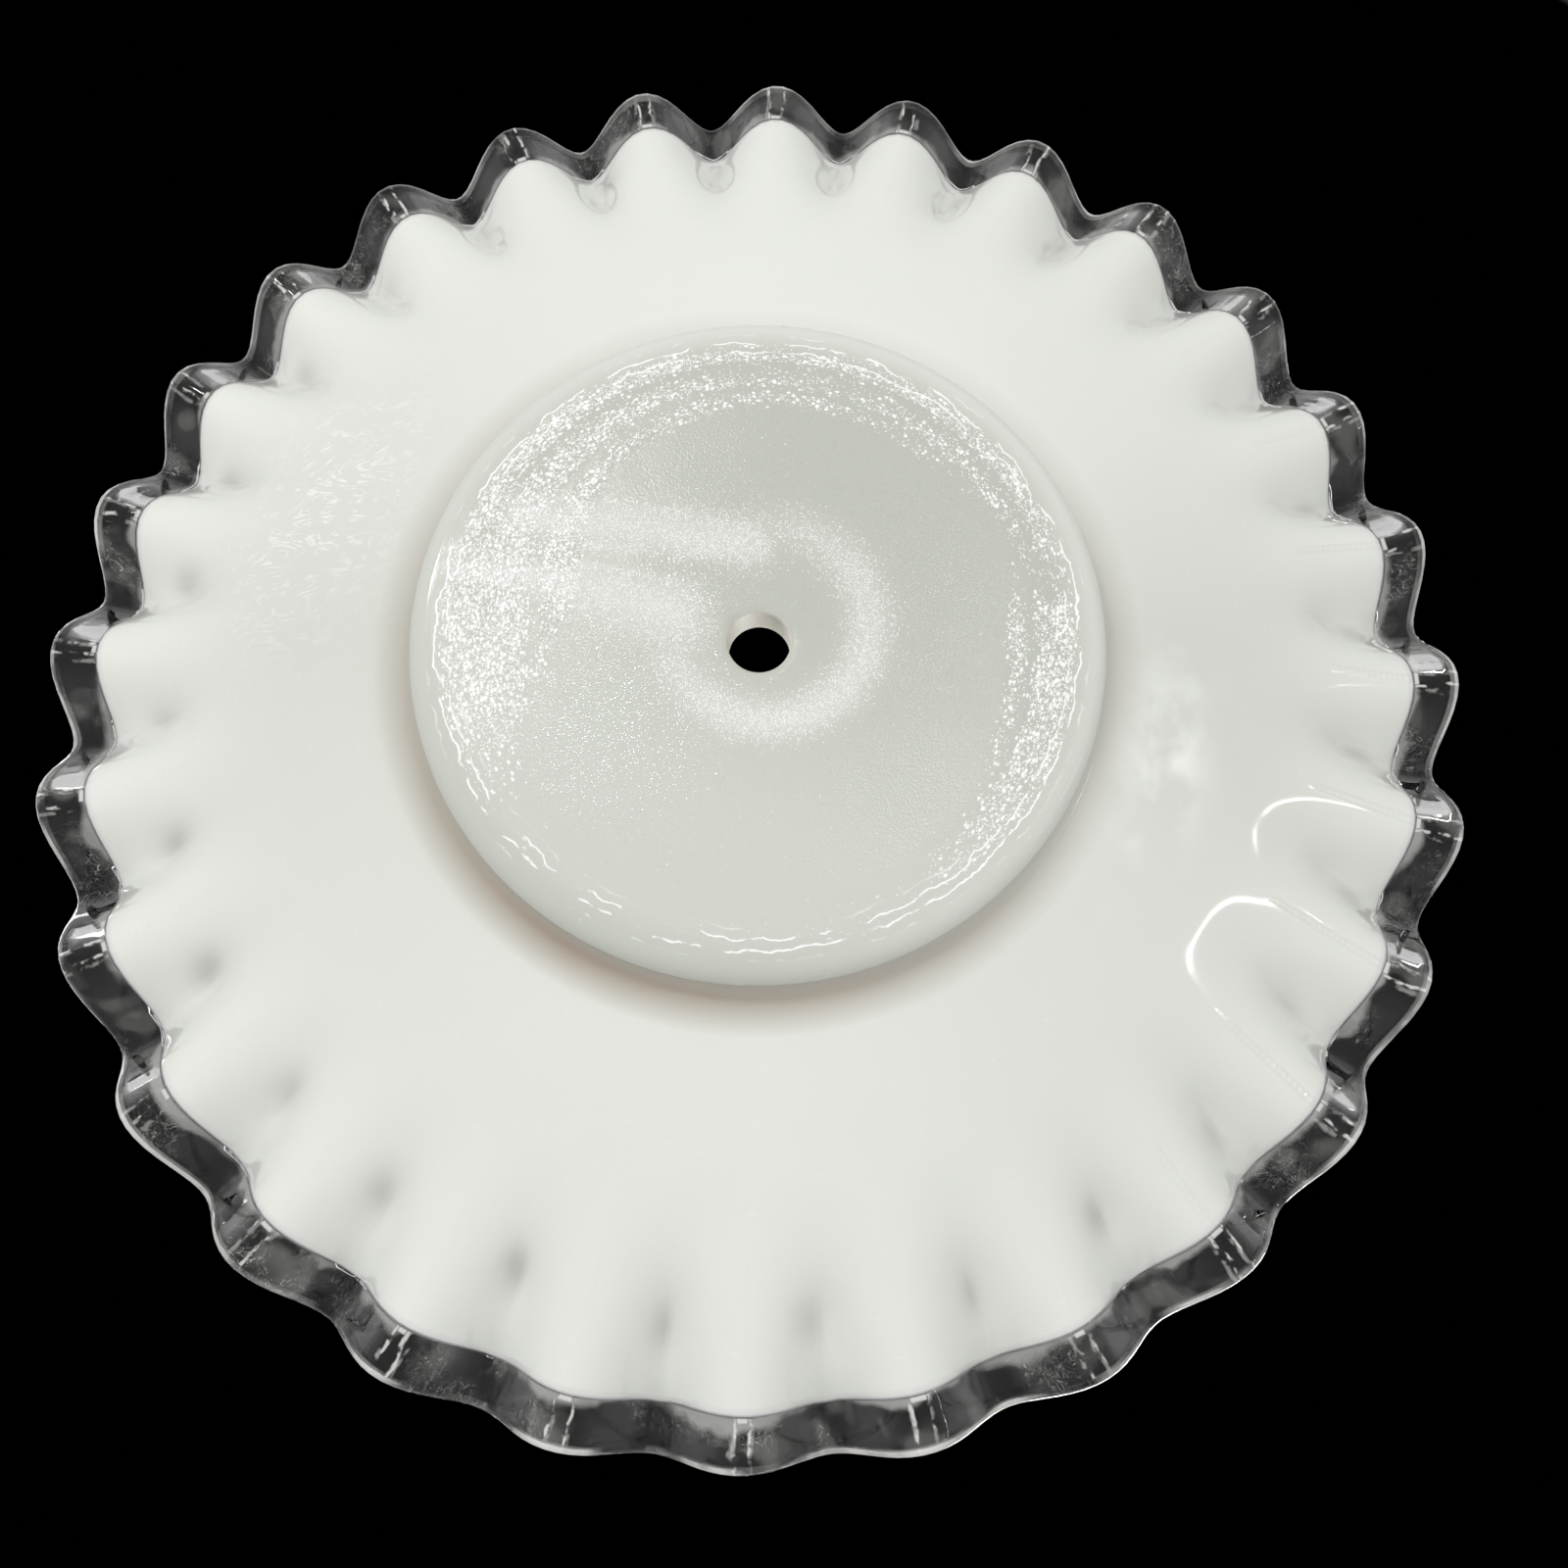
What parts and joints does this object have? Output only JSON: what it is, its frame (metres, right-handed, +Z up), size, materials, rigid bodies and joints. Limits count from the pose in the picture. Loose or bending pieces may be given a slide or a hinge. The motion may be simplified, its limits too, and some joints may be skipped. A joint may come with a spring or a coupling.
{
  "type": "footed cake plate",
  "caption": "Round opal glass cake plate with a low foot pad, a crimped rim, a clear glass crest and a drilled centre hole for a stand's post.",
  "frame": {"origin": "centre of the foot's resting face, on the table; the middle of the rim stands within 2 mm of it, because the rim was worked by hand", "axes": "+Z up, out of the well; -Y towards the front, which is the near side in the picture, with the picture's left at +X because it was taken from underneath"},
  "size_m": [0.3287, 0.3318, 0.0548],
  "materials": {
    "opal_glass": "opal (milk) glass: dense white pressed glass with a fire-polished gloss, slightly translucent at the rim, worn and chill-marked on the resting ring",
    "clear_glass": "clear colourless glass, fire-polished, with fine cords and seeds"
  },
  "bodies": {
    "root": {"foot_and_well": "opal_glass", "crimped_skirt": "opal_glass", "clear_crest": "clear_glass"}
  },
  "joints": []
}
